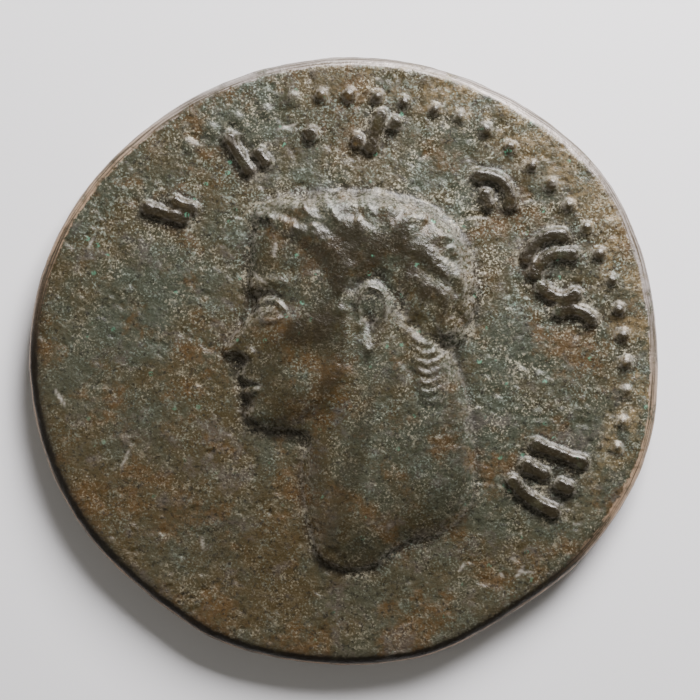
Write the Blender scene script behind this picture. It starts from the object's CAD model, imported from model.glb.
"""A worn Roman bronze coin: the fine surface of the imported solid, its patina, and a plain studio.

The coin is one struck piece, so one mesh replaces the node. Both faces are height fields, worked out in
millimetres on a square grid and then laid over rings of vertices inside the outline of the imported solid.
"""
import math

import bpy
import numpy as np
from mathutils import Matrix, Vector


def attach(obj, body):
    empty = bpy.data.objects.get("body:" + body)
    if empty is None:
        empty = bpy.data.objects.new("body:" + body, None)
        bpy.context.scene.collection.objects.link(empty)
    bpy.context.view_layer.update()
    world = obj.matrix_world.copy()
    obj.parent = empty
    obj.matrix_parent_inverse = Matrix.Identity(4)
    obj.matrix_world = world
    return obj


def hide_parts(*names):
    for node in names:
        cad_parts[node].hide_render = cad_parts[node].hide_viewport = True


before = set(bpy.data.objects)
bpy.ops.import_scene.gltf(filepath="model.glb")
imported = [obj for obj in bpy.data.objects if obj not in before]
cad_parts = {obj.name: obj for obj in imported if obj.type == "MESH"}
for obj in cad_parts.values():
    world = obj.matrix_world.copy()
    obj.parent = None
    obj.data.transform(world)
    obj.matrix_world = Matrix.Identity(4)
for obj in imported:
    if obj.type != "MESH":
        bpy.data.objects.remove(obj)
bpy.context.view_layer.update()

MM = 0.001

# ---------------- the coin's driving dimensions, in mm

THICKNESS = 1.95  # from the rim of the reverse to the field of the obverse
SHOULDER = {"width": 0.45, "depth": 0.5, "start": math.radians(16)}  # the rounding of a face into the edge
REVERSE_RIM = {"width": 1.3, "recess": 0.22, "slope": 0.4}  # the flat ring that the coin lies on
KEPT_CLEAR = 0.02  # the relief of the reverse stays this far above what the coin lies on

HEAD_HEIGHT = 11.0  # chin to crown, with the hair
FACE_X = -4.35  # the plane of the forehead
CHIN_Y = -3.2
DOME = {"height": 0.5, "reach": 2.9, "blur": 0.55}  # how the relief swells from its outline to the middle
CONTOUR = {"height": 0.18, "reach": 0.35, "soft_reach": 0.85}  # the step at the head's outline
THROAT = {"top": -0.06, "bottom": -0.5, "fade": 0.8}  # where the outline is soft, in head heights and mm
SOFT_BACK = {"nape": 0.7, "nape_fade": 1.5, "hair_fade": 0.5}  # the same down the nape and by the hair
OUTLINE_FADE = 0.2  # all relief of the head starts from nothing over this distance
FACE_RISE = {"height": 0.12, "reach": 0.7}  # each plane of the head stands above the next
HAIR_RISE = {"height": 0.26, "reach": 0.9}
NAPE_RISE = {"height": 0.06, "reach": 0.3}
WEAR = {"level": 0.9, "softness": 0.06, "blur": 0.055}  # handling has rubbed what stood higher than this
RUBBED_CROWN = {"middle": (0.42, 0.755), "length": 0.3, "width": 0.12, "left": 0.2}

DIE = {"x": 0.2, "y": -0.65}  # the die struck a little off the flan's middle
FIELD_SWELL = {"height": 0.07, "reach": 6}  # under the head
FIELD_HOLLOW = {"depth": 0.06, "reach": 1.5}  # in the ring of the legend
FIELD_LIP = {"height": 0.03, "inside": 0.2, "reach": 0.8}  # from just inside the dots outwards
LEGEND_RADIUS = 10.5  # from the middle of the flan to the middle of the strokes
STROKE = {"width": 0.58, "height": 0.25, "slope": 0.15, "blur": 0.035, "flare": 0.22, "ragged": 0.06}
BORDER = {"radius": 12.7, "first": 125, "last": -15.5, "step": 5.85, "dot": 0.37, "height": 0.26}
WORN_DOTS = {"left_of": 100, "left": 0.4, "right_below": 0, "right": 0.7}  # degrees, shares of height

WREATH = {"radius": 8.4, "leaves": 8, "length": 1.3, "width": 0.48, "height": 0.19}
LEAVES = {"first": 16, "span": 146, "lean": 26, "spread": 0.55}  # degrees up each side, and mm off the stem
TIE = {"at": 7, "out": 1.2, "lean": 35, "length": 0.9, "width": 0.26, "height": 0.8, "knot": 0.6}
STEM = {"half_width": 0.16, "height": 0.7}
BALL_RADIUS = 0.75  # between the wreath's two tips

GRID = {"half": 15.0, "pitch": 0.05}  # of the height fields
OBVERSE_RINGS = 154
REVERSE_RINGS = 78
SHOULDER_RINGS = 11  # how many of a face's rings lie on its shoulder
EDGE_ROWS = 6
OUTLINE_HARMONICS = 18
RELIEF_FADE = 0.3  # what the height field adds ends this far inside the edge, and fades over as much
CRUST = {"side": math.radians(65), "reach": 14, "middle": 0.45, "more": 0.6}  # where more of it was kept
# Outside the dots, in degrees and mm.
OCHRE_MARGIN = {"from": -40, "fade_in": 30, "to": 110, "fade_out": 40, "width": 2.6, "fade": 0.8}
DENTED = {"reach": 1.6, "fade": 0.8}  # in from the widest radius, in mm
DENTS = {"depth": 0.035, "size": 1.8}
NICKS = {"depth": 0.018, "size": 0.6}
EDGE_LINES = {"depth": 0.02, "size": 0.13, "reach": 1.2, "fade": 0.5}
EDGE_WORN_BACK = 0.03


# ---------------- curves and fields


def ramp(t):
    """0 below 0, 1 above 1 and smooth between."""
    t = np.clip(t, 0, 1)
    return t * t * (3 - 2 * t)


def between(a, b, start, end, at):
    """a where `at` is start, b where it is end, in proportion elsewhere."""
    return ((end - at) * a + (at - start) * b) / (end - start)


def unit(angle):
    """The step of length 1 in a direction given in radians."""
    return np.array([math.cos(angle), math.sin(angle)])


def around(radius, degrees):
    """The point at that radius and angle."""
    return radius * unit(math.radians(degrees))


def curve(points, closed=False, steps=8):
    """A centripetal Catmull-Rom curve through points, as an array of points."""
    p = np.asarray(points, float)
    if closed:
        p = np.vstack([p[-1:], p, p[:2]])
    else:
        p = np.vstack([2 * p[0] - p[1], p, 2 * p[-1] - p[-2]])
    share = np.linspace(0, 1, steps, endpoint=False)[:, None]
    pieces = []
    for a, b, c, d in zip(p, p[1:], p[2:], p[3:]):
        spans = [math.sqrt(max(np.linalg.norm(v - u), 1e-6)) for u, v in ((a, b), (b, c), (c, d))]
        k0, k1, k2, k3 = np.cumsum([0.0, *spans])
        at = k1 + (k2 - k1) * share
        ab = between(a, b, k0, k1, at)
        bc = between(b, c, k1, k2, at)
        cd = between(c, d, k2, k3, at)
        abc = between(ab, bc, k0, k2, at)
        bcd = between(bc, cd, k1, k3, at)
        pieces.append(between(abc, bcd, k1, k2, at))
    line = np.vstack(pieces)
    return line if closed else np.vstack([line, p[-2]])


def to_segment(a, b, x, y):
    """The nearest place between a and b, as a share of the way, and the step from it to each point."""
    dx, dy = b[0] - a[0], b[1] - a[1]
    t = np.clip(((x - a[0]) * dx + (y - a[1]) * dy) / (dx * dx + dy * dy), 0, 1)
    return t, x - a[0] - t * dx, y - a[1] - t * dy


def to_line(line, x, y):
    """The nearest place on an open line: how far along it (0 to 1) and the signed distance from it."""
    best = np.full(x.shape, np.inf)
    place = np.zeros(x.shape)
    offset = np.zeros(x.shape)
    for i, (a, b) in enumerate(zip(line, line[1:])):
        t, right, up = to_segment(a, b, x, y)
        distance = np.hypot(right, up)
        side = np.sign((b[0] - a[0]) * up - (b[1] - a[1]) * right)
        near = distance < best
        best[near] = distance[near]
        place[near] = ((i + t) / (len(line) - 1))[near]
        offset[near] = (side * distance)[near]
    return place, offset


def near_line(line, reach, x, y, height):
    """height(x, y) inside the line's box grown by reach, and 0 elsewhere."""
    low, high = np.min(line, axis=0) - reach, np.max(line, axis=0) + reach
    near = (x > low[0]) & (x < high[0]) & (y > low[1]) & (y < high[1])
    out = np.zeros(x.shape)
    if near.any():
        out[near] = height(x[near], y[near])
    return out


def blurred(field, sigma):
    """The field after a Gaussian blur of sigma mm."""
    across = np.fft.rfftfreq(field.shape[1], GRID["pitch"])
    down = np.fft.fftfreq(field.shape[0], GRID["pitch"])
    keep = np.exp(-2 * (math.pi * sigma) ** 2 * (across[None, :] ** 2 + down[:, None] ** 2))
    return np.fft.irfft2(np.fft.rfft2(field) * keep, field.shape)


def noise(points, size, seed, octaves=3):
    """Smooth seeded noise from about -1 to 1 at an array of points of 2 or 3 coordinates."""
    total, weight, strength = 0.0, 0.0, 1.0
    for octave in range(octaves):
        lattice = np.random.default_rng(seed + octave).uniform(-1, 1, (64,) * points.shape[-1])
        p = points / (size / 2**octave) + 17.3 * (octave + 1)
        cell = np.floor(p).astype(int)
        f = p - cell
        f = f * f * f * (f * (f * 6 - 15) + 10)
        value = 0.0
        for corner in np.ndindex(*(2,) * points.shape[-1]):
            share = np.prod([f[..., k] if c else 1 - f[..., k] for k, c in enumerate(corner)], axis=0)
            value = value + share * lattice[tuple((cell[..., k] + c) % 64 for k, c in enumerate(corner))]
        total = total + strength * value
        weight += strength
        strength *= 0.55
    return total / weight


AXIS = np.arange(-GRID["half"], GRID["half"], GRID["pitch"])
X, Y = np.meshgrid(AXIS, AXIS)
XY = np.stack([X, Y], -1)


def in_ellipse(middle, length, width, turn=0):
    """The grid as seen from a turned ellipse: along and across it, in its half length and half width."""
    cos, sin = math.cos(math.radians(turn)), math.sin(math.radians(turn))
    x, y = X - middle[0], Y - middle[1]
    return (x * cos + y * sin) / length, (y * cos - x * sin) / width


def sample(field, x, y):
    """The grid's field at any points, bilinear."""
    u = (x + GRID["half"]) / GRID["pitch"]
    v = (y + GRID["half"]) / GRID["pitch"]
    i, j = np.floor(u).astype(int), np.floor(v).astype(int)
    fu, fv = u - i, v - j
    low = field[j, i] * (1 - fu) + field[j, i + 1] * fu
    high = field[j + 1, i] * (1 - fu) + field[j + 1, i + 1] * fu
    return low * (1 - fv) + high * fv


# ---------------- the head, in head heights


def head(points):
    """Millimetres from how far behind the plane of the forehead and how far above the chin points lie."""
    p = np.asarray(points, float)
    return np.stack([FACE_X + p[..., 0] * HEAD_HEIGHT, CHIN_Y + p[..., 1] * HEAD_HEIGHT], -1)


def inset(outline):
    """How far inside a closed outline of the head each point of the grid is, in mm; negative outside."""
    polygon = curve(head(outline), closed=True)
    best = np.full(X.shape, np.inf)
    inside = np.zeros(X.shape, bool)
    for a, b in zip(polygon, np.roll(polygon, -1, axis=0)):
        _, right, up = to_segment(a, b, X, Y)
        best = np.minimum(best, np.hypot(right, up))
        if a[1] != b[1]:
            crossing = a[0] + (Y - a[1]) * (b[0] - a[0]) / (b[1] - a[1])
            inside ^= ((a[1] > Y) != (b[1] > Y)) & (X < crossing)
    return np.where(inside, best, -best)


PROFILE = [
    (0.03, 0.86), (0.002, 0.73), (-0.005, 0.585), (0.02, 0.515), (-0.03, 0.44), (-0.112, 0.34),
    (-0.1, 0.302), (-0.03, 0.29), (-0.05, 0.225), (-0.022, 0.19), (-0.04, 0.16), (-0.004, 0.118),
    (-0.02, 0.06), (0.035, 0.0),
]
NECK = [
    (0.13, -0.012), (0.236, -0.03), (0.214, -0.14), (0.222, -0.28), (0.25, -0.42), (0.29, -0.535),
    (0.368, -0.577), (0.459, -0.59), (0.541, -0.559), (0.605, -0.5), (0.677, -0.462), (0.78, -0.443),
    (0.88, -0.375), (0.938, -0.28), (0.95, -0.17), (0.942, -0.02), (0.922, 0.12), (0.88, 0.26),
    (0.81, 0.4),
]
SKULL = [(0.58, 0.84), (0.21, 0.89)]
JAW = [
    (0.14, 0.0), (0.27, 0.05), (0.39, 0.16), (0.45, 0.3), (0.45, 0.45), (0.45, 0.64), (0.36, 0.82),
    (0.18, 0.9),
]
HAIR = [
    (0.0, 0.9), (0.015, 0.845), (0.1, 0.81), (0.2, 0.745), (0.29, 0.686), (0.34, 0.59), (0.355, 0.49),
    (0.395, 0.475), (0.42, 0.573), (0.505, 0.62), (0.577, 0.573), (0.605, 0.491), (0.705, 0.4),
    (0.795, 0.323), (0.88, 0.35), (0.935, 0.46), (0.955, 0.591), (0.94, 0.71), (0.88, 0.83),
    (0.78, 0.925), (0.62, 0.985), (0.4, 1.0), (0.195, 0.99), (0.055, 0.955),
]
NAPE = [
    (0.6, 0.46), (0.641, 0.345), (0.686, 0.218), (0.714, 0.118), (0.786, 0.1), (0.836, 0.173),
    (0.841, 0.3), (0.78, 0.36), (0.686, 0.43),
]

# Soft swellings and hollows: what, back, up, half length, half width, turned by degrees, raised by mm.
FORMS = [
    ("brow ridge", 0.055, 0.605, 0.075, 0.026, 12, 0.13),
    ("eye socket", 0.075, 0.53, 0.07, 0.045, 0, -0.18),
    ("inner corner of the eye", 0.024, 0.5, 0.026, 0.045, 0, -0.08),
    ("eyeball", 0.093, 0.494, 0.045, 0.026, 0, 0.17),
    ("bridge of the nose", -0.02, 0.41, 0.03, 0.09, -28, 0.1),
    ("tip of the nose", -0.075, 0.335, 0.03, 0.026, 0, 0.03),
    ("wing of the nose", 0.002, 0.32, 0.032, 0.026, 0, 0.13),
    ("side of the nose", 0.047, 0.375, 0.03, 0.07, -20, -0.08),
    ("cheekbone", 0.19, 0.415, 0.14, 0.06, 8, 0.11),
    ("hollow of the cheek", 0.22, 0.25, 0.1, 0.07, 20, -0.07),
    ("corner of the mouth", 0.09, 0.26, 0.04, 0.05, 0, 0.04),
    ("chin", 0.03, 0.06, 0.055, 0.045, 0, 0.1),
    ("corner of the jaw", 0.35, 0.17, 0.1, 0.06, 35, 0.08),
    ("temple", 0.17, 0.65, 0.08, 0.06, 0, -0.06),
    ("forehead", 0.06, 0.72, 0.08, 0.07, 0, 0.04),
    ("hollow of the ear", 0.5, 0.452, 0.03, 0.045, 0, -0.22),
    ("flap of the ear", 0.466, 0.435, 0.014, 0.022, 0, 0.12),
    ("ear lobe", 0.493, 0.335, 0.024, 0.03, 0, 0.15),
    ("base of the neck", 0.55, -0.45, 0.22, 0.1, 0, 0.08),
]

# Ridges, and creases where the height is negative: what, points, half width in head heights, height in mm.
RIDGES = [
    ("upper lid", [(0.034, 0.498), (0.066, 0.536), (0.112, 0.538), (0.17, 0.486)], 0.016, 0.22),
    ("lower lid", [(0.042, 0.478), (0.09, 0.454), (0.155, 0.474)], 0.014, 0.16),
    ("eyebrow", [(0.02, 0.59), (0.07, 0.622), (0.13, 0.618), (0.2, 0.585)], 0.024, 0.05),
    ("upper lip", [(-0.028, 0.211), (0.008, 0.214), (0.068, 0.196)], 0.02, 0.11),
    ("lower lip", [(-0.02, 0.164), (0.008, 0.165), (0.058, 0.18)], 0.02, 0.11),
    ("rim of the ear",
     [(0.468, 0.45), (0.455, 0.53), (0.5, 0.592), (0.557, 0.565), (0.565, 0.47), (0.512, 0.33)],
     0.022, 0.26),
    ("inner fold of the ear", [(0.535, 0.545), (0.543, 0.47), (0.512, 0.395)], 0.015, 0.12),
    ("muscle of the neck", [(0.53, 0.22), (0.46, -0.05), (0.39, -0.3), (0.37, -0.48)], 0.06, 0.1),
    ("mouth", [(-0.022, 0.189), (0.02, 0.19), (0.08, 0.184)], 0.012, -0.11),
    ("behind the wing of the nose", [(0.033, 0.35), (0.043, 0.315), (0.033, 0.287)], 0.014, -0.07),
    ("fold beside the mouth", [(0.045, 0.315), (0.085, 0.26), (0.1, 0.2)], 0.02, -0.03),
    ("fold over the lid", [(0.038, 0.552), (0.085, 0.568), (0.16, 0.54)], 0.015, -0.09),
    ("nostril", [(-0.025, 0.302), (-0.003, 0.302)], 0.012, -0.05),
]


def swelling(form):
    """One row of FORMS as a soft mound, or a hollow, over the grid."""
    _, back, up, length, width, turn, height = form
    u, v = in_ellipse(head((back, up)), length * HEAD_HEIGHT, width * HEAD_HEIGHT, turn)
    return height * np.exp(-(u * u + v * v))


RIDGE_TAPER = {"length": 0.3, "tip": 0.2}  # shares of a ridge's length and of its full size


def ridge(line, width, height):
    """A rounded ridge of half width `width` mm that tapers towards both ends."""

    def rise(x, y):
        place, offset = to_line(line, x, y)
        full = np.minimum(1, np.minimum(place, 1 - place) / RIDGE_TAPER["length"] + RIDGE_TAPER["tip"])
        return height * full * np.clip(1 - (offset / (width * full)) ** 2, 0, 1) ** 1.5

    return near_line(line, width, X, Y, rise)


# Locks flow outwards from the whorl at the crown, ring after ring, each tip over the next one's root.
# Their gap, spacing, length and half width are in head heights, and their height is in mm.
WHORL = (0.64, 0.74)
LOCKS = {"rings": 8, "gap": 0.085, "spacing": 0.095, "length": 0.145, "half_width": 0.043, "height": 0.22}
LOCK_TURN = {"lean": 0.22, "hook": 2.0, "curl": 1.4}  # radians at the root; the bend is hook * curl / 2
LOCK_STEPS = 10
LOCK_BROADEST = 0.55  # the share of its length where a lock is broadest
HAIR_STRANDS = {"height": 0.03, "across": 2.6}  # how many lie side by side on a lock
LOCK_BED = {"depth": 0.1, "fade": 0.25}  # the hair between the locks, and where they end at the hairline
NAPE_STRANDS = {"first": 0.37, "last": 0.13, "count": 7, "half_width": 0.24, "height": 0.1, "fade": 0.2}


def lock_lines():
    """The middle line of every lock, from its root to its tip."""
    rng = np.random.default_rng(4)
    lines = []
    for ring in range(LOCKS["rings"]):
        start = (ring + 0.15) * LOCKS["gap"]
        count = max(4, round(2 * math.pi * (start + 0.03) / LOCKS["spacing"]))
        for i in range(count):
            angle = (i + 0.5 * (ring % 2)) / count * 2 * math.pi + rng.normal(0, 0.03)
            heading = angle + LOCK_TURN["lean"] + rng.normal(0, 0.1)
            hook = LOCK_TURN["hook"] + rng.normal(0, 0.6)
            step = LOCKS["length"] * (1 + rng.normal(0, 0.12)) / LOCK_STEPS
            point = np.array(WHORL) + start * unit(angle)
            points = [point]
            for k in range(LOCK_STEPS):
                heading -= hook / LOCK_STEPS * LOCK_TURN["curl"] * ((k + 0.5) / LOCK_STEPS)
                point = point + step * unit(heading)
                points.append(point)
            lines.append(head(points))
    return lines


def lock(line):
    """A comma of hair: narrow at the root, broad, tapering to its hooked tip, with strands along it."""
    broad = LOCKS["half_width"] * HEAD_HEIGHT

    def rise(x, y):
        place, offset = to_line(line, x, y)
        tip = np.clip((place - LOCK_BROADEST) / (1 - LOCK_BROADEST), 0, 1)
        wide = broad * (0.8 + 0.2 * np.minimum(place / LOCK_BROADEST, 1)) * (1 - 0.8 * tip**1.6)
        swell = np.clip(1 - (offset / wide) ** 2, 0, 1)
        strands = HAIR_STRANDS["height"] * np.cos(offset / broad * math.pi * HAIR_STRANDS["across"]) * swell
        return LOCKS["height"] * (0.3 + 0.7 * place) * np.sqrt(swell) + strands

    return near_line(line, broad, X, Y, rise)


def crown_rubbing():
    """1 on the side of the crown, where wear has taken most of the locks, 0 elsewhere."""
    length, width = (RUBBED_CROWN[k] * HEAD_HEIGHT for k in ("length", "width"))
    u, v = in_ellipse(head(RUBBED_CROWN["middle"]), length, width)
    return np.exp(-((u * u + v * v) ** 2))


def softness(hair):
    """How soft the head's outline is, 0 to 1: soft under the hair, down the nape and at the throat."""
    nape_x, throat_top = head((SOFT_BACK["nape"], THROAT["top"]))
    throat_bottom = head((0, THROAT["bottom"]))[1]
    throat = ramp((throat_top - Y) / THROAT["fade"]) * ramp((Y - throat_bottom) / THROAT["fade"])
    by_the_hair = ramp(1 + hair / SOFT_BACK["hair_fade"])
    nape = ramp((X - nape_x) / SOFT_BACK["nape_fade"])
    return np.max([throat, by_the_hair, nape], axis=0)


def hair_locks(hair):
    """The locks over the hair's bed, lower where the crown is rubbed; hair is how far inside the hair."""
    locks = np.max([lock(line) for line in lock_lines()], axis=0)
    left = 1 - (1 - RUBBED_CROWN["left"]) * crown_rubbing()
    return ramp(hair / LOCK_BED["fade"]) * (locks - LOCK_BED["depth"]) * left


def nape_strands(nape):
    """Short curved strands one under the other; nape is how far inside the nape's hair."""
    lines = []
    for up in np.linspace(NAPE_STRANDS["first"], NAPE_STRANDS["last"], NAPE_STRANDS["count"]):
        lines.append(curve(head([(0.66, up + 0.03), (0.74, up - 0.012), (0.83, up + 0.035)])))
    strands = [ridge(line, NAPE_STRANDS["half_width"], NAPE_STRANDS["height"]) for line in lines]
    return ramp(nape / NAPE_STRANDS["fade"]) * np.max(strands, axis=0)


def portrait():
    """How high the head stands above the field, in mm, and how far inside its outline each point is."""
    body = inset(PROFILE + NECK + SKULL)
    hair = inset(HAIR)
    face = inset(PROFILE + JAW)
    nape = inset(NAPE)
    depth = np.maximum(body, hair)
    dome = blurred(1 - (1 - np.clip(depth / DOME["reach"], 0, 1)) ** 2, DOME["blur"])
    reach = CONTOUR["reach"] + (CONTOUR["soft_reach"] - CONTOUR["reach"]) * softness(hair)
    height = DOME["height"] * dome + CONTOUR["height"] * ramp(depth / reach)
    height += FACE_RISE["height"] * ramp(face / FACE_RISE["reach"])
    height += NAPE_RISE["height"] * ramp(nape / NAPE_RISE["reach"])
    height += HAIR_RISE["height"] * ramp(hair / HAIR_RISE["reach"])
    height += sum(swelling(form) for form in FORMS)
    height += sum(ridge(curve(head(line), steps=14), w * HEAD_HEIGHT, h) for _, line, w, h in RIDGES)
    height += hair_locks(hair)
    height += nape_strands(nape)
    return np.where(depth > 0, height * ramp(depth / OUTLINE_FADE), 0), depth


# ---------------- strokes and dots

# Each stroke: its place on the legend's ring in degrees, its length, how many degrees it leans from the
# radius, how far it is out of the ring and, if it is bent, the radius of its bend.
STROKES = [
    (140.5, 2.2, 24), (135.8, 1.3, 24, -0.35), (117, 2.2, 4), (112, 1.0, 16, -0.55),
    (98.4, 0.62, 0, -0.1), (82, 2.1, -8), (86.2, 0.62, -8, -0.5), (77.8, 0.62, -8, 0.5),
    (48.3, 2.2, 90, 0.35, 1.2), (48.3, 0.9, 72, -0.7), (31.6, 2.1, 0, 0, -1.3),
    (26.8, 2.1, 0, 0, -1.3), (16.4, 1.6, -28, -0.35, 1.2), (12.2, 1.6, -28, 0.35, -1.2),
    (-23.4, 2.8, 3, 0.2), (-29.8, 1.4, 3, -0.45), (-29.8, 0.9, 3, 1.05), (-36.6, 2.3, 0, 0.1, 4),
]


def turned(points, degrees):
    """The points turned anticlockwise about the origin."""
    cos, sin = math.cos(math.radians(degrees)), math.sin(math.radians(degrees))
    return points @ np.array([[cos, sin], [-sin, cos]])


def stroke_line(at, length, lean, out=0.0, bend=None):
    """The middle line of one row of STROKES."""
    run = np.linspace(-0.5, 0.5, 9) * (length - STROKE["width"] * (0 if bend else 1))
    if bend:
        radius = abs(bend)
        line = np.stack([radius * np.cos(run / radius) - radius, radius * np.sin(run / radius)], -1)
        turn = at - 90 + lean + (180 if bend < 0 else 0)
    else:
        line = np.stack([0 * run, run], -1)
        turn = at - 90 + lean
    middle = around(LEGEND_RADIUS + out, at)
    return turned(line, turn) + middle


def legend():
    """The row of strokes: flat-topped bars with soft flanks, their edges a little ragged."""
    ragged = STROKE["ragged"] * noise(XY, 0.5, 31)
    out = np.zeros(X.shape)
    for stroke in STROKES:
        line = stroke_line(*stroke)

        def rise(x, y):
            place, offset = to_line(line, x, y)
            half = STROKE["width"] / 2 * (1 + STROKE["flare"] * (2 * place - 1) ** 4) + STROKE["slope"] / 2
            return STROKE["height"] * ramp((half - abs(offset)) / STROKE["slope"])

        out = np.maximum(out, near_line(line, STROKE["width"], X + ragged, Y + ragged.T, rise))
    return out


def border():
    """The round dots, full at the top and right, lower at the row's two worn ends."""
    rng = np.random.default_rng(9)
    out = np.zeros(X.shape)
    at = BORDER["first"]
    while at >= BORDER["last"]:
        if at > WORN_DOTS["left_of"]:
            fresh = WORN_DOTS["left"]
        elif at < WORN_DOTS["right_below"]:
            fresh = WORN_DOTS["right"]
        else:
            fresh = rng.uniform(0.8, 1.05)
        angle = math.radians(at + rng.normal(0, 0.25))
        reach = BORDER["radius"] + rng.normal(0, 0.05)
        x, y = DIE["x"] + reach * math.cos(angle), DIE["y"] + reach * math.sin(angle)
        off = ((X - x) ** 2 + (Y - y) ** 2) / (BORDER["dot"] * rng.uniform(0.9, 1.1)) ** 2
        out = np.maximum(out, BORDER["height"] * fresh * np.clip(1 - off, 0, 1) ** 0.6)
        at -= BORDER["step"]
    return out


def obverse_field():
    """The ground between the reliefs: it swells under the head and sinks in the ring of the legend."""
    radius = np.hypot(X - DIE["x"], Y - DIE["y"])
    swell = FIELD_SWELL["height"] * np.exp(-((radius / FIELD_SWELL["reach"]) ** 2))
    hollow = FIELD_HOLLOW["depth"] * np.exp(-(((radius - LEGEND_RADIUS) / FIELD_HOLLOW["reach"]) ** 2))
    lip = FIELD_LIP["height"] * ramp((radius - BORDER["radius"] + FIELD_LIP["inside"]) / FIELD_LIP["reach"])
    return THICKNESS + swell - hollow + lip


def softly_under(height, level, softness):
    """The height, bending over smoothly so that it stays under the level."""
    return height - softness * np.logaddexp(0, (height - level) / softness)


# ---------------- the two faces as height fields

# What corrosion and handling left all over, in mm.
WAVES = {"height": 0.022, "size": 2.6}
LUMPS = {"height": 0.026, "size": 0.8}
GRAIN = {"height": 0.016, "size": 0.3}
PITS = {"depth": 0.05, "size": 0.45, "above": 0.34, "slope": 0.2}
LEFT_BY_RUBBING = 0.3  # the share of lumps, grain and pits on what is rubbed smooth
FLANK = {"from": 0.3, "over": 0.6}  # slopes, as rise over run
# Where handling has rubbed the relief: what stands above its surroundings, what stands highest, and so on.
RUB_PROUD = {"share": 0.45, "around": 0.5, "over": 0.05, "level": 0.35}
RUB_HIGHEST = {"share": 0.92, "from": 0.74, "over": 0.08}
RUB_CROWN = {"share": 0.85, "inside": 0.8, "over": 0.6}
RUB_STROKES = {"from": 0.4, "over": 0.4}  # shares of a stroke's height
SKIN = {"smooth": 0.6, "reach": 0.4}  # the head is smoother than the field this far inside its outline
CORNER_BLUR = 0.35
SCRATCH = {"depth": 0.03, "half_width": 0.07, "within": 13, "wander": 0.03, "old": 3.5, "fresh": 1.4}
# The seed of corrosion, the count and seed of fresh and old scratches, the depth in mm of dirty corners.
AGEING = {
    "obverse": {"seed": 50, "fresh": (16, 28), "old": (40, 5), "corners": 0.09},
    "reverse": {"seed": 150, "fresh": (10, 38), "old": (24, 15), "corners": 0.06},
}


def scratches(count, seed, longest):
    """Thin grooves at random places and headings, as heights below 0; none is over `longest` mm."""
    rng = np.random.default_rng(seed)
    out = np.zeros(X.shape)
    for _ in range(count):
        angle, reach = rng.uniform(0, 2 * math.pi), SCRATCH["within"] * math.sqrt(rng.uniform())
        heading, length = rng.uniform(0, math.pi), rng.uniform(0.2, 1) * longest
        start = reach * unit(angle)
        run = np.linspace(0, length, 5)[:, None]
        line = start + run * unit(heading)
        line = line + SCRATCH["wander"] * rng.normal(size=line.shape)
        groove = ridge(line, SCRATCH["half_width"], SCRATCH["depth"] * rng.uniform(0.5, 1))
        out = np.maximum(out, groove)
    return -out


def corrosion(seed, rough):
    """Unevenness all over, in mm; rough is 0 where the surface is rubbed smooth and 1 where it isn't."""
    waves = WAVES["height"] * noise(XY, WAVES["size"], seed)
    lumps = LUMPS["height"] * noise(XY, LUMPS["size"], seed + 10)
    grain = GRAIN["height"] * noise(XY, GRAIN["size"], seed + 20, octaves=2)
    pits = -PITS["depth"] * ramp((noise(XY, PITS["size"], seed + 30) - PITS["above"]) / PITS["slope"])
    return waves + (lumps + grain + pits) * (LEFT_BY_RUBBING + (1 - LEFT_BY_RUBBING) * rough)


def steepness(raised):
    """1 on the flanks of the relief, 0 where it is level."""
    down, across = np.gradient(raised, GRID["pitch"])
    return ramp((np.hypot(down, across) - FLANK["from"]) / FLANK["over"])


def beside(raised, full):
    """1 in the corners beside the relief, 0 on open ground; `full` is a corner's depth in mm."""
    return ramp((blurred(raised, CORNER_BLUR) - raised) / full)


def worn_tops(raised, strokes, depth):
    """How far handling has rubbed the metal, 0 to 1; depth is how far inside the head's outline."""
    above = raised - blurred(raised, RUB_PROUD["around"])
    proud = RUB_PROUD["share"] * ramp(raised / 0.2) * ramp(above / RUB_PROUD["over"] + RUB_PROUD["level"])
    highest = RUB_HIGHEST["share"] * ramp((raised - RUB_HIGHEST["from"]) / RUB_HIGHEST["over"])
    stroke_tops = ramp((strokes / STROKE["height"] - RUB_STROKES["from"]) / RUB_STROKES["over"])
    crown = RUB_CROWN["share"] * crown_rubbing() * ramp((depth - RUB_CROWN["inside"]) / RUB_CROWN["over"])
    return np.max([np.maximum(proud, highest) * (1 - steepness(raised)), stroke_tops, crown], axis=0)


def aged(ground, raised, worn, rough, seed, fresh, old, corners):
    """A face's height with its corrosion and scratches, and a dict of the masks that its patina follows."""
    fresh_cuts = scratches(*fresh, SCRATCH["fresh"])
    old_cuts = scratches(*old, SCRATCH["old"])
    masks = {
        "scratched": ramp(-fresh_cuts / SCRATCH["depth"]),
        "worn": worn,
        "flank": steepness(raised),
        "hollow": beside(raised, corners),
    }
    return ground + corrosion(seed, rough) + old_cuts + fresh_cuts, masks


def obverse():
    """The obverse's height over the grid and the masks that its patina follows."""
    head_height, depth = portrait()
    head_height = softly_under(head_height, WEAR["level"], WEAR["softness"])
    head_height *= depth > 0
    strokes = blurred(np.maximum(legend(), border()), STROKE["blur"])
    raised = np.maximum(blurred(head_height, WEAR["blur"]), strokes)
    worn = worn_tops(raised, strokes, depth)
    smooth = np.maximum(worn, SKIN["smooth"] * ramp(depth / SKIN["reach"]))
    return aged(obverse_field() + raised, raised, worn, 1 - smooth, **AGEING["obverse"])


def leaf(middle, length, width, turn, height):
    """A pointed leaf with a vein down its middle."""
    u, v = in_ellipse(middle, length, width, turn)
    body = np.clip(1 - np.abs(u) ** 1.6 - v * v, 0, 1) ** 0.55
    return height * (body - 0.3 * np.exp(-((v / 0.13) ** 2)) * ramp(body / 0.3))


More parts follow.
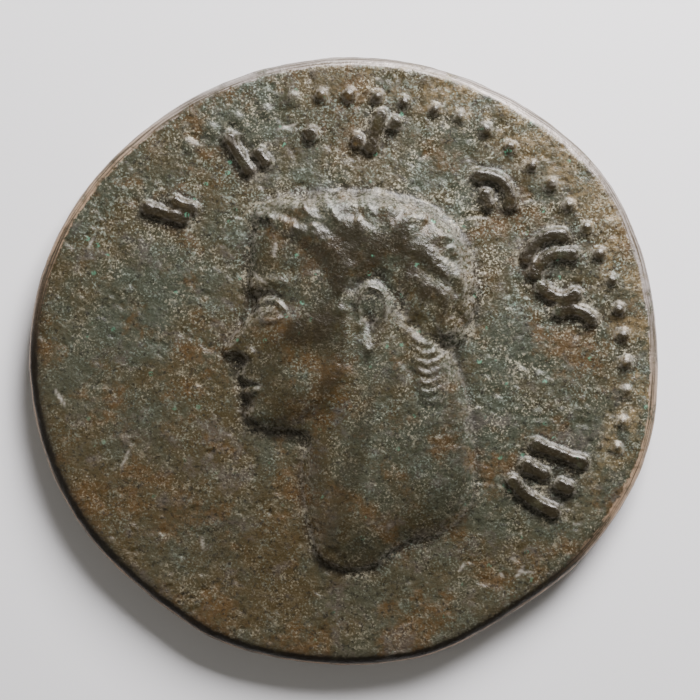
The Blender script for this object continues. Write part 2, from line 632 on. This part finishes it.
def wreath():
    """Two branches of paired leaves that rise from a tie at the bottom to a ball at the top."""
    radius, length, width, height = (WREATH[k] for k in ("radius", "length", "width", "height"))
    pieces = []
    for side in (-1, 1):
        for i in range(WREATH["leaves"]):
            at = -90 + side * (LEAVES["first"] + i * LEAVES["span"] / (WREATH["leaves"] - 1))
            for way in (-1, 1):
                middle = around(radius - way * LEAVES["spread"], at)
                turn = at + side * (90 + way * LEAVES["lean"])
                pieces.append(leaf(middle, length, width, turn, height))
        middle = around(radius + TIE["out"], -90 + side * TIE["at"])
        turn = -90 + side * TIE["lean"]
        pieces.append(leaf(middle, TIE["length"], TIE["width"], turn, height * TIE["height"]))
    for y, size in ((-radius, TIE["knot"]), (radius, BALL_RADIUS)):
        pieces.append(height * np.sqrt(np.clip(1 - (X**2 + (Y - y) ** 2) / size**2, 0, 1)))
    off_stem = np.abs(np.hypot(X, Y) - radius)
    off_ball = np.hypot(X, Y - radius)
    stem = STEM["height"] * height * np.clip(1 - (off_stem / STEM["half_width"]) ** 2, 0, 1)
    pieces.append(stem * ramp(off_ball / 1.2 - 0.6))
    return blurred(np.max(pieces, axis=0), 0.05)


def reverse():
    """The reverse's relief, measured outwards from its sunk field, and the masks of its patina."""
    raised = wreath()
    worn = ramp(raised / 0.1)
    height, masks = aged(raised, raised, worn, 1 - 0.7 * worn, **AGEING["reverse"])
    return np.minimum(height, REVERSE_RIM["recess"] - KEPT_CLEAR), masks


# ---------------- the mesh


def flan_outline():
    """The flan's radius in mm at any angle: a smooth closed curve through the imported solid's edge."""
    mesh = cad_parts["coin"].data
    points = np.empty(len(mesh.vertices) * 3)
    mesh.vertices.foreach_get("co", points)
    points = points.reshape(-1, 3) / MM
    # Only the wall's points: the outermost ones between the two shoulders.
    points = points[(points[:, 2] > 0.25 * THICKNESS) & (points[:, 2] < 0.8 * THICKNESS)]
    radius = np.hypot(points[:, 0], points[:, 1])
    on_edge = radius > 0.9 * radius.max()
    angle = np.arctan2(points[:, 1], points[:, 0])[on_edge]
    radius = radius[on_edge]
    order = np.argsort(angle)
    even = np.linspace(-math.pi, math.pi, 720, endpoint=False)
    waves = np.fft.rfft(np.interp(even, angle[order], radius[order], period=2 * math.pi))
    waves[OUTLINE_HARMONICS:] = 0
    smooth = np.fft.irfft(waves, len(even))
    return lambda a: np.interp(a, even, smooth, period=2 * math.pi)


def section(ring, rings, radius):
    """How far out a ring of a face lies, where the edge has that radius, and how far it has dropped there.

    The inner rings are even, and the last ones follow the shoulder's rounding, which starts with a crease.
    """
    width, depth, start = SHOULDER["width"], SHOULDER["depth"], SHOULDER["start"]
    inner = rings - SHOULDER_RINGS
    flat = (radius - width) * np.minimum(ring / inner, 1)
    turn = start + np.clip((ring - inner) / SHOULDER_RINGS, 0, 1) * (math.pi / 2 - start)
    out = width * (np.sin(turn) - math.sin(start)) / (1 - math.sin(start))
    return flat + out, depth * (1 - np.cos(turn) / math.cos(start))


def disc(rings):
    """A disc of rings with 6, 12, 18 ... points: each point's angle and ring, and its triangles."""
    angles, places = [0.0], [0.0]
    for ring in range(1, rings + 1):
        count = 6 * ring
        angles.extend(np.arange(count) / count * 2 * math.pi)
        places.extend([ring] * count)
    faces = []
    for ring in range(1, rings + 1):
        outer = 1 + 3 * ring * (ring - 1)
        inner = outer - 6 * (ring - 1) if ring > 1 else 0
        for side in range(6):
            for k in range(ring):
                a = outer + side * ring + k
                b = outer + (side * ring + k + 1) % (6 * ring)
                c = inner + (side * (ring - 1) + k) % (6 * (ring - 1)) if ring > 1 else 0
                faces.append((a, b, c))
                if k < ring - 1:
                    d = inner + (side * (ring - 1) + k + 1) % (6 * (ring - 1))
                    faces.append((b, d, c))
    return np.array(angles), np.array(places), np.array(faces)


def stitched(above, below):
    """Triangles between two closed loops of vertex numbers that start at the same angle."""
    faces, i, j = [], 0, 0
    while i < len(above) or j < len(below):
        a, b = above[i % len(above)], below[j % len(below)]
        if j == len(below) or (i < len(above) and (i + 1) / len(above) <= (j + 1) / len(below)):
            faces.append((a, b, above[(i + 1) % len(above)]))
            i += 1
        else:
            faces.append((a, b, below[(j + 1) % len(below)]))
            j += 1
    return faces


def flan_face(rings, outline):
    """A face's points before its relief: x, y, the way to the edge, the shoulder's drop, and triangles."""
    angle, ring, faces = disc(rings)
    edge_radius = outline(angle)
    distance, drop = section(ring, rings, edge_radius)
    return distance * np.cos(angle), distance * np.sin(angle), edge_radius - distance, drop, faces


def coin_surface():
    """Vertices in mm, triangles and the masks per vertex of the whole coin."""
    outline = flan_outline()
    height, fields = obverse()
    x, y, inside, drop, top_faces = flan_face(OBVERSE_RINGS, outline)
    fade = ramp((inside - RELIEF_FADE) / RELIEF_FADE)
    top = np.stack([x, y, THICKNESS + (sample(height, x, y) - THICKNESS) * fade - drop], -1)
    top_masks = {name: sample(field, x, y) * fade for name, field in fields.items()}

    # The edge, as loops of the same angles as the obverse's last ring, from the top down.
    loop = np.arange(6 * OBVERSE_RINGS) / (6 * OBVERSE_RINGS) * 2 * math.pi
    radius = outline(loop)
    wall = THICKNESS - 2 * SHOULDER["depth"]
    rows = []
    for row in range(1, EDGE_ROWS + 1):
        up = THICKNESS - SHOULDER["depth"] - wall * row / (EDGE_ROWS + 1)
        rows.append(np.stack([radius * np.cos(loop), radius * np.sin(loop), 0 * loop + up], -1))
    edge = np.vstack(rows)

    # The reverse, a mirror image of its height field because it is seen from below.
    height, fields = reverse()
    x, y, inside, drop, bottom_faces = flan_face(REVERSE_RINGS, outline)
    recessed = ramp((inside - SHOULDER["width"] - REVERSE_RIM["width"]) / REVERSE_RIM["slope"])
    relief = sample(height, -x, y)
    bottom = np.stack([x, y, drop + recessed * (REVERSE_RIM["recess"] - relief)], -1)
    masks = {name: sample(field, -x, y) * recessed for name, field in fields.items()}

    count = len(loop)
    first = len(top) - count
    loops = [np.arange(first, first + count)]
    loops += [len(top) + row * count + np.arange(count) for row in range(EDGE_ROWS)]
    start = len(top) + len(edge)
    last = start + len(bottom) - 6 * REVERSE_RINGS + np.arange(6 * REVERSE_RINGS)
    sides = []
    for above, below in zip(loops, loops[1:] + [last]):
        sides.extend(stitched(list(above), list(below)))
    faces = np.vstack([top_faces, np.array(sides), start + bottom_faces[:, ::-1]])
    points = np.vstack([top, edge, bottom])
    for name in masks:
        masks[name] = np.concatenate([top_masks[name], np.zeros(len(edge)), masks[name]])
    masks.update(zones(points, outline))
    return roughened_edge(points), faces, masks


def zones(points, outline):
    """Masks that follow the place on the coin: its edge, its ochre margin and the side with more crust."""
    angle = np.arctan2(points[:, 1], points[:, 0])
    depth = outline(angle) - np.hypot(points[:, 0], points[:, 1])
    up = points[:, 2] > THICKNESS / 2
    degrees = np.degrees(angle)
    margin, side = OCHRE_MARGIN, CRUST["side"]
    right = ramp((degrees - margin["from"]) / margin["fade_in"])
    right = right * ramp((margin["to"] - degrees) / margin["fade_out"])
    lean = (points[:, 1] * math.sin(side) + points[:, 0] * math.cos(side)) / CRUST["reach"]
    return {
        "edge": ramp((SHOULDER["width"] - 0.02 - depth) / 0.08),
        "depth": np.clip(depth, 0, 1),
        "ochre_side": right * ramp((margin["width"] - depth) / margin["fade"]) * up,
        "crusted": ramp(CRUST["middle"] + CRUST["more"] * lean),
    }


def roughened_edge(points):
    """The points with the small dents, nicks and parallel lines of a struck flan along its edge."""
    radius = np.hypot(points[:, 0], points[:, 1])
    near = ramp((radius - (radius.max() - DENTED["reach"])) / DENTED["fade"])
    out = points / np.maximum(radius, 1e-6)[:, None] * [1, 1, 0]
    dents = DENTS["depth"] * noise(points, DENTS["size"], 71)
    dents += NICKS["depth"] * noise(points, NICKS["size"], 72)
    lines = EDGE_LINES["depth"] * noise(points * [0.1, 0.1, 1.0], EDGE_LINES["size"], 73, octaves=2)
    side = ramp((radius - (radius.max() - EDGE_LINES["reach"])) / EDGE_LINES["fade"])
    moved = points + out * (near * dents + side * lines - EDGE_WORN_BACK * near)[:, None]
    moved[:, 2] = np.maximum(moved[:, 2], 0)
    return moved


def mesh_piece(name, points, faces, masks, material):
    """A smooth-shaded mesh object in metres, with each mask as a number per vertex."""
    mesh = bpy.data.meshes.new(name)
    mesh.from_pydata((points * MM).tolist(), [], faces.tolist())
    mesh.polygons.foreach_set("use_smooth", np.ones(len(mesh.polygons), bool))
    for mask, values in masks.items():
        attribute = mesh.attributes.new(mask, "FLOAT", "POINT")
        attribute.data.foreach_set("value", values.astype(np.float32))
    mesh.materials.append(material)
    mesh.update()
    piece = bpy.data.objects.new(name, mesh)
    bpy.context.collection.objects.link(piece)
    return piece


# ---------------- the patina


class Nodes:
    """A material's node tree with short ways to add and link what the patina is made of."""

    def __init__(self, name):
        self.material = bpy.data.materials.new(name)
        self.material.use_nodes = True
        self.tree = self.material.node_tree
        self.shader = self.tree.nodes["Principled BSDF"]
        self.masks = {}
        place = self.add("TexCoord", {}).outputs["Object"]
        self.place = self.add("VectorMath", {0: place, "Scale": 1 / MM}, operation="SCALE").outputs[0]

    def put(self, value, target):
        """Give an input a number or a colour, or link it to another node's output."""
        if isinstance(value, bpy.types.NodeSocket):
            self.tree.links.new(value, target)
        else:
            target.default_value = value

    def add(self, kind, inputs, **settings):
        """A new node with its settings and with something put in each named or numbered input."""
        node = self.tree.nodes.new("ShaderNode" + kind)
        for name, value in settings.items():
            setattr(node, name, value)
        for name, value in inputs.items():
            self.put(value, node.inputs[name])
        return node

    def moved(self, x, y, z):
        """The place on the coin in mm, moved, so that two patterns of one kind don't coincide."""
        return self.add("Mapping", {"Vector": self.place, "Location": (x, y, z)}).outputs[0]

    def noise(self, size, detail, rough, offset=0.0):
        """Noise whose features are about `size` mm, from 0 to 1; another offset gives another pattern."""
        place = self.moved(offset, offset * 1.7, offset * 0.6)
        inputs = {"Vector": place, "Scale": 1 / size, "Detail": detail, "Roughness": rough}
        return self.add("TexNoise", inputs).outputs["Fac"]

    def spots(self, size, offset):
        """The distance to the nearest of scattered points about `size` mm apart, as a share of size."""
        place = self.moved(offset, -offset, offset * 0.3)
        return self.add("TexVoronoi", {"Vector": place, "Scale": 1 / size}).outputs["Distance"]

    def around_the_rim(self, depth, size):
        """Noise in lines that run round the coin's shoulder and edge, about `size` mm apart."""
        parts = self.add("SeparateXYZ", {0: self.place}).outputs
        along = {axis: self.math("MULTIPLY_ADD", parts[axis], 0.35) for axis in ("X", "Y")}
        down = self.math("MULTIPLY_ADD", parts["Z"], 1.0, depth)
        lines = self.math("MULTIPLY_ADD", down, 1 / size)
        place = self.add("CombineXYZ", {**along, "Z": lines}).outputs[0]
        return self.add("TexNoise", {"Vector": place, "Scale": 1.0, "Detail": 3.0}).outputs["Fac"]

    def step(self, value, low, high):
        """0 where value is at low, 1 at high, smooth between."""
        inputs = {"Value": value, "From Min": low, "From Max": high}
        return self.add("MapRange", inputs, interpolation_type="SMOOTHSTEP").outputs["Result"]

    def scaled(self, value, low, high):
        """value, from 0 to 1, laid over low to high."""
        return self.add("MapRange", {"Value": value, "To Min": low, "To Max": high}).outputs["Result"]

    def math(self, operation, a, b, c=0.0):
        """One sum of numbers or outputs, kept from 0 to 1 unless it is a multiply-add."""
        clamp = operation != "MULTIPLY_ADD"
        return self.add("Math", {0: a, 1: b, 2: c}, operation=operation, use_clamp=clamp).outputs[0]

    def times(self, *values):
        """The product of several outputs."""
        product = values[0]
        for value in values[1:]:
            product = self.math("MULTIPLY", product, value)
        return product

    def mask(self, name):
        """One of the mesh's masks."""
        if name not in self.masks:
            self.masks[name] = self.add("Attribute", {}, attribute_name=name).outputs["Fac"]
        return self.masks[name]

    def mix(self, share, a, b):
        """Colour a where share is 0, colour b where it is 1."""
        return self.add("Mix", {0: share, 6: a, 7: b}, data_type="RGBA").outputs[2]

    def laid(self, colour, over, share, most):
        """The colour under another one, which covers `most` of it where share is 1."""
        return self.mix(self.scaled(share, 0.0, most), colour, over)

    def bump(self, height, distance, normal=None):
        """Fine unevenness, `distance` high, on top of an earlier one."""
        inputs = {"Height": height, "Distance": distance, "Strength": 1.0}
        if normal is not None:
            inputs["Normal"] = normal
        return self.add("Bump", inputs).outputs[0]


def srgb(red, green, blue):
    """A colour for a node, from 0 to 255 display values."""
    return (*(((c / 255 + 0.055) / 1.055) ** 2.4 for c in (red, green, blue)), 1.0)


OLIVE_BROWN = srgb(58, 50, 26)
GREEN_GREY = srgb(53, 57, 43)
WARM_BROWN = srgb(74, 54, 24)
GREY = srgb(72, 67, 60)
OCHRE = srgb(84, 70, 43)
TAN = srgb(124, 106, 72)
RUBBED = srgb(36, 30, 17)
CREAM = srgb(192, 184, 158)
PALE_GREEN = srgb(144, 158, 144)
ASH = srgb(176, 170, 158)
DARK = srgb(20, 17, 10)
DIRT = srgb(24, 18, 8)
VERDIGRIS = srgb(90, 152, 122)
LILAC_RIM = srgb(158, 150, 144)
COPPER_RIM = srgb(180, 152, 124)
RIM_SHADE = srgb(84, 74, 60)
EDGE_BROWN = srgb(104, 86, 62)


def patches(n):
    """Broad patches, millimetres wide, with ragged borders, and ochre earth outside the dots."""
    colour = n.mix(n.step(n.noise(4.5, 8, 0.72), 0.4, 0.6), OLIVE_BROWN, GREEN_GREY)
    colour = n.laid(colour, WARM_BROWN, n.step(n.noise(2.6, 8, 0.72, 11.0), 0.5, 0.64), 0.85)
    colour = n.laid(colour, GREY, n.step(n.noise(1.5, 7, 0.72, 23.0), 0.53, 0.67), 0.8)
    colour = n.laid(colour, WARM_BROWN, n.step(n.mask("crusted"), 0.3, 0.0), 0.18)
    earth = n.times(n.mask("ochre_side"), n.step(n.noise(1.1, 5, 0.65, 31.0), 0.4, 0.62))
    tan = n.mix(n.step(n.noise(0.25, 4, 0.7, 37.0), 0.44, 0.6), OCHRE, TAN)
    return n.laid(colour, tan, earth, 0.8)


def rubbed_and_dirty(n, colour):
    """What stands proud is rubbed to a smooth dark brown, and dark dirt lies beside the relief."""
    rubbed = n.times(n.mask("worn"), n.step(n.noise(0.9, 4, 0.6, 61.0), 0.22, 0.52))
    colour = n.laid(colour, RUBBED, rubbed, 0.92)
    return n.laid(colour, DIRT, n.mask("hollow"), 0.7)


def crust_specks(n):
    """Light crust in specks a tenth of a millimetre across, thick in some places and thin in others."""
    cover = n.scaled(n.step(n.noise(1.0, 6, 0.72, 41.0), 0.38, 0.6), 0.12, 1.0)
    cover = n.times(cover, n.scaled(n.mask("crusted"), 0.35, 1.0), n.scaled(n.mask("worn"), 1.0, 0.12))
    fine = n.step(n.noise(0.1, 2, 0.6, 43.0), 0.51, 0.68)
    coarse = n.step(n.noise(0.24, 3, 0.7, 45.0), 0.56, 0.68)
    return n.times(n.math("MAXIMUM", fine, n.scaled(coarse, 0.0, 0.7)), cover)


def crusted_over(n, colour, specks):
    """The light specks with dark grain between them, and pale crust on and beside the relief."""
    light = n.mix(n.step(n.noise(1.1, 3, 0.6, 47.0), 0.4, 0.6), CREAM, PALE_GREEN)
    colour = n.laid(colour, light, specks, 0.68)
    grain = n.times(n.step(n.noise(0.2, 3, 0.7, 53.0), 0.47, 0.33), n.scaled(n.mask("worn"), 1.0, 0.5))
    colour = n.laid(colour, DARK, grain, 0.7)
    on_flanks = n.times(n.mask("flank"), n.step(n.noise(0.2, 4, 0.7, 57.0), 0.42, 0.6))
    colour = n.laid(colour, ASH, on_flanks, 0.3)
    here_and_there = n.step(n.noise(1.2, 5, 0.7, 59.0), 0.5, 0.66)
    torn = n.step(n.noise(0.16, 3, 0.7, 60.0), 0.42, 0.58)
    return n.laid(colour, CREAM, n.times(n.mask("hollow"), here_and_there, torn), 0.6)


def verdigris(n, colour):
    """A few ragged green specks, most of them on the crusted side."""
    scattered = n.step(n.spots(0.9, 5.0), 0.16, 0.09)
    here_and_there = n.step(n.noise(1.6, 2, 0.5, 65.0), 0.48, 0.56)
    ragged = n.step(n.noise(0.12, 3, 0.6, 67.0), 0.46, 0.54)
    specks = n.times(scattered, here_and_there, ragged, n.scaled(n.mask("crusted"), 0.2, 1.0))
    return n.laid(colour, VERDIGRIS, specks, 0.75)


def bare_rim(n, colour):
    """The rim: metal where it was handled, dirty on the side with little crust, and brown down its wall."""
    depth, crusted = n.mask("depth"), n.mask("crusted")
    dirty_side = n.step(crusted, 0.45, 0.1)
    colour = n.laid(colour, DIRT, n.times(dirty_side, n.step(depth, 0.95, 0.3)), 0.55)
    streaks = n.step(n.around_the_rim(depth, 0.1), 0.36, 0.6)
    copper = n.mix(streaks, RIM_SHADE, COPPER_RIM)
    handled = n.mix(n.times(n.step(depth, 0.05, 0.16), dirty_side), copper, DIRT)
    metal = n.mix(n.step(crusted, 0.6, 0.95), handled, n.mix(streaks, RIM_SHADE, LILAC_RIM))
    metal = n.mix(n.step(depth, 0.03, 0.0), metal, n.mix(streaks, OLIVE_BROWN, EDGE_BROWN))
    ragged = n.math("MULTIPLY_ADD", n.noise(0.35, 4, 0.65, 69.0), 0.5, depth)
    bare = n.times(n.step(ragged, 0.74, 0.62), n.step(n.noise(0.8, 4, 0.6, 71.0), 0.25, 0.5))
    return n.laid(colour, metal, bare, 0.85)


def patina():
    """The coin's one material, from its broad patches to its finest grain."""
    n = Nodes("bronze_patina")
    specks = crust_specks(n)
    colour = rubbed_and_dirty(n, patches(n))
    colour = crusted_over(n, colour, specks)
    colour = n.laid(colour, ASH, n.mask("scratched"), 0.6)
    colour = bare_rim(n, verdigris(n, colour))
    n.put(colour, n.shader.inputs["Base Color"])

    rough = n.scaled(n.noise(0.5, 4, 0.6, 73.0), 0.35, 0.51)
    rough = n.math("ADD", rough, n.scaled(specks, 0.0, 0.15))
    rough = n.math("SUBTRACT", rough, n.scaled(n.mask("worn"), 0.0, 0.13))
    n.put(rough, n.shader.inputs["Roughness"])
    n.put(n.scaled(n.mask("edge"), 0.2, 0.4), n.shader.inputs["Metallic"])

    lumps = n.bump(n.noise(0.5, 4, 0.6, 79.0), 0.05 * MM)
    grains = n.bump(n.noise(0.13, 2, 0.6, 81.0), 0.018 * MM, normal=lumps)
    n.put(grains, n.shader.inputs["Normal"])
    return n.material


# ---------------- the studio


FLOOR = {"size": 1.2, "colour": (0.84, 0.84, 0.84, 1.0), "roughness": 0.6}
SURROUNDINGS = {"colour": (1.0, 0.97, 0.93, 1.0), "strength": 0.122}

# Square lights: azimuth in degrees anticlockwise from +X, elevation, distance and size in m, watts, colour.
SOFTBOXES = {
    "key": (66, 37, 0.12, 0.06, 0.485, (1.0, 0.97, 1.0)),
    "fill": (200, 50, 0.3, 0.15, 0.08, (1.0, 0.94, 0.85)),
}


def floor():
    """The pale floor that the coin lies on."""
    material = bpy.data.materials.new("pale_floor")
    material.use_nodes = True
    shader = material.node_tree.nodes["Principled BSDF"]
    shader.inputs["Base Color"].default_value = FLOOR["colour"]
    shader.inputs["Roughness"].default_value = FLOOR["roughness"]
    bpy.ops.mesh.primitive_plane_add(size=FLOOR["size"], location=(0, 0, 0))
    plane = bpy.context.object
    plane.name = "studio_floor"
    plane.data.materials.append(material)


def softbox(name, azimuth, elevation, distance, size, power, colour):
    """A square light that looks at the coin."""
    a, e = math.radians(azimuth), math.radians(elevation)
    towards = Vector((math.cos(a) * math.cos(e), math.sin(a) * math.cos(e), math.sin(e)))
    data = bpy.data.lights.new(name, "AREA")
    data.size = size
    data.energy = power
    data.color = colour
    light = bpy.data.objects.new(name, data)
    light.location = towards * distance
    light.rotation_euler = (-towards).to_track_quat("-Z", "Y").to_euler()
    bpy.context.collection.objects.link(light)


def lights():
    """A dim even surrounding, a key light from the upper right and a weak warm fill from the left."""
    world = bpy.data.worlds.new("studio")
    world.use_nodes = True
    background = world.node_tree.nodes["Background"]
    background.inputs["Color"].default_value = SURROUNDINGS["colour"]
    background.inputs["Strength"].default_value = SURROUNDINGS["strength"]
    bpy.context.scene.world = world
    for name, placing in SOFTBOXES.items():
        softbox(name, *placing)


FRAME_WIDTH = 31.85 * MM  # what the picture holds at the height of the coin's face
LENS = 100.0
SENSOR = 36.0
CENTRE_IN_VIEW = (0.3 * MM, 0.5 * MM)  # the picture's middle is a little right of and above the coin's


def camera():
    """The camera straight above the coin."""
    data = bpy.data.cameras.new("camera")
    data.lens = LENS
    data.sensor_width = SENSOR
    data.clip_start = 5 * MM
    data.clip_end = 5.0
    eye = bpy.data.objects.new("camera", data)
    distance = FRAME_WIDTH * LENS / SENSOR
    eye.location = (CENTRE_IN_VIEW[0], CENTRE_IN_VIEW[1], THICKNESS * MM + distance)
    bpy.context.collection.objects.link(eye)
    bpy.context.scene.camera = eye


# ---------------- putting it together

points, faces, masks = coin_surface()
coin = mesh_piece("bronze_coin", points, faces, masks, patina())
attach(coin, "root")
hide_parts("coin")

floor()
lights()
camera()
